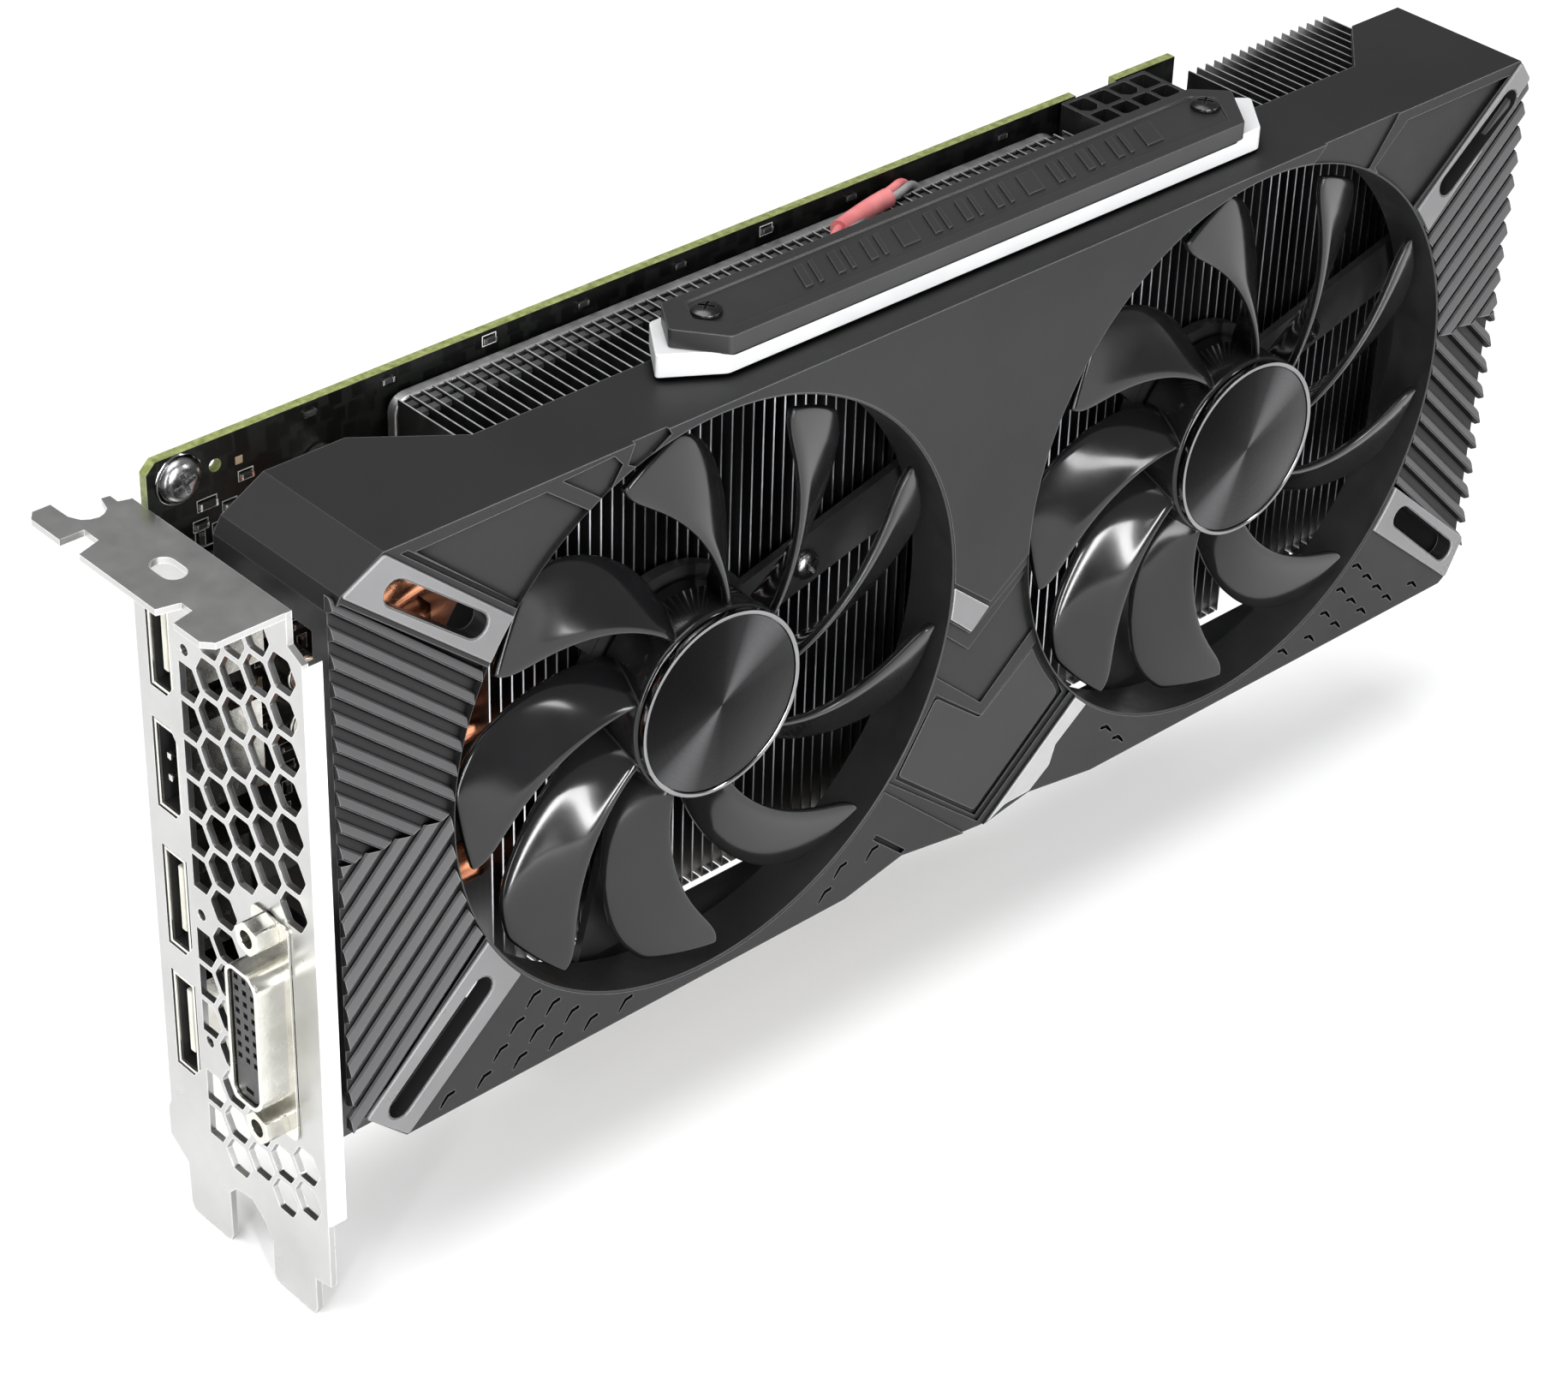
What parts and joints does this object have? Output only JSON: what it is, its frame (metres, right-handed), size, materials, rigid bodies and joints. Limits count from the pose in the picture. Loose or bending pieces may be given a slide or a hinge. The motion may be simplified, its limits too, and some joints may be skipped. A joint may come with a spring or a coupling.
{
  "type": "graphics card",
  "caption": "Dual-slot expansion card with axial fans over a finned heatsink, a slotted metal bracket with video sockets, a contact edge and a power socket.",
  "frame": {"origin": "outer face of the slot bracket at the circuit board's mid-plane, level with the bottom of the contact edge", "axes": "+X along the board away from the bracket, -Y the way the fans face, +Z towards the edge with the power connector"},
  "size_m": [0.2532, 0.0453, 0.1337],
  "materials": {
    "board_black": "satin solder mask",
    "bracket_nickel": "bright plated sheet",
    "port_nickel": "bright plated sheet",
    "insulator_black": "satin",
    "shroud_plastic": "fine matte grain",
    "rotor_plastic": "smooth gloss",
    "disc_brushed": "radially brushed, black",
    "motor_plastic": "matte",
    "fin_aluminium": "mill finish",
    "plate_aluminium": "satin",
    "pipe_copper": "bare copper",
    "screw_steel": "dark plated",
    "light_guide": "translucent white",
    "badge_plastic": "matte",
    "power_plastic": "satin",
    "package_green": "satin",
    "die_grey": "polished",
    "choke_ferrite": "matte",
    "lead_red": "satin insulation"
  },
  "bodies": {
    "card": {"badge_bar": "badge_plastic", "badge_screw_1": "screw_steel", "badge_screw_2": "screw_steel", "base_plate": "plate_aluminium", "bracket_screw": "screw_steel", "circuit_board": "board_black", "cold_plate": "pipe_copper", "cooler_screw_1": "screw_steel", "cooler_screw_2": "screw_steel", "cooler_screw_3": "screw_steel", "cooler_screw_4": "screw_steel", "cooler_shroud": "shroud_plastic", "display_port_1_shell": "port_nickel", "display_port_1_tongue": "insulator_black", "display_port_2_shell": "port_nickel", "display_port_2_tongue": "insulator_black", "display_port_3_shell": "port_nickel", "display_port_3_tongue": "insulator_black", "dvi_jack_nut_1": "port_nickel", "dvi_jack_nut_2": "port_nickel", "dvi_port_body": "insulator_black", "dvi_port_insert": "insulator_black", "dvi_port_shell": "port_nickel", "fin_stack_end": "fin_aluminium", "fin_stack_main": "fin_aluminium", "gpu_die": "die_grey", "gpu_package": "package_green", "hdmi_port_shell": "port_nickel", "hdmi_port_tongue": "insulator_black", "heat_pipe_1": "pipe_copper", "heat_pipe_2": "pipe_copper", "heat_pipe_3": "pipe_copper", "left_fan_motor_frame": "motor_plastic", "left_fan_motor_screw_1": "screw_steel", "left_fan_motor_screw_2": "screw_steel", "left_fan_motor_screw_3": "screw_steel", "light_lead": "lead_red", "light_strip": "light_guide", "memory_chip_1": "insulator_black", "memory_chip_2": "insulator_black", "memory_chip_3": "insulator_black", "memory_chip_4": "insulator_black", "power_choke_1": "choke_ferrite", "power_choke_2": "choke_ferrite", "power_choke_3": "choke_ferrite", "power_connector": "power_plastic", "right_fan_motor_frame": "motor_plastic", "right_fan_motor_screw_1": "screw_steel", "right_fan_motor_screw_2": "screw_steel", "right_fan_motor_screw_3": "screw_steel", "slot_bracket": "bracket_nickel"},
    "left_fan": {"left_fan_rotor": "rotor_plastic", "left_fan_hub_disc": "disc_brushed", "left_fan_shaft": "screw_steel"},
    "right_fan": {"right_fan_rotor": "rotor_plastic", "right_fan_hub_disc": "disc_brushed", "right_fan_shaft": "screw_steel"}
  },
  "joints": [
    {"name": "left_fan_spin", "type": "hinge", "parent": "card", "child": "left_fan", "pos_m": [0.07006, 0, 0.06366], "axis": [0, -1, 0], "continuous": true},
    {"name": "right_fan_spin", "type": "hinge", "parent": "card", "child": "right_fan", "pos_m": [0.17937, 0, 0.06366], "axis": [0, -1, 0], "continuous": true}
  ]
}
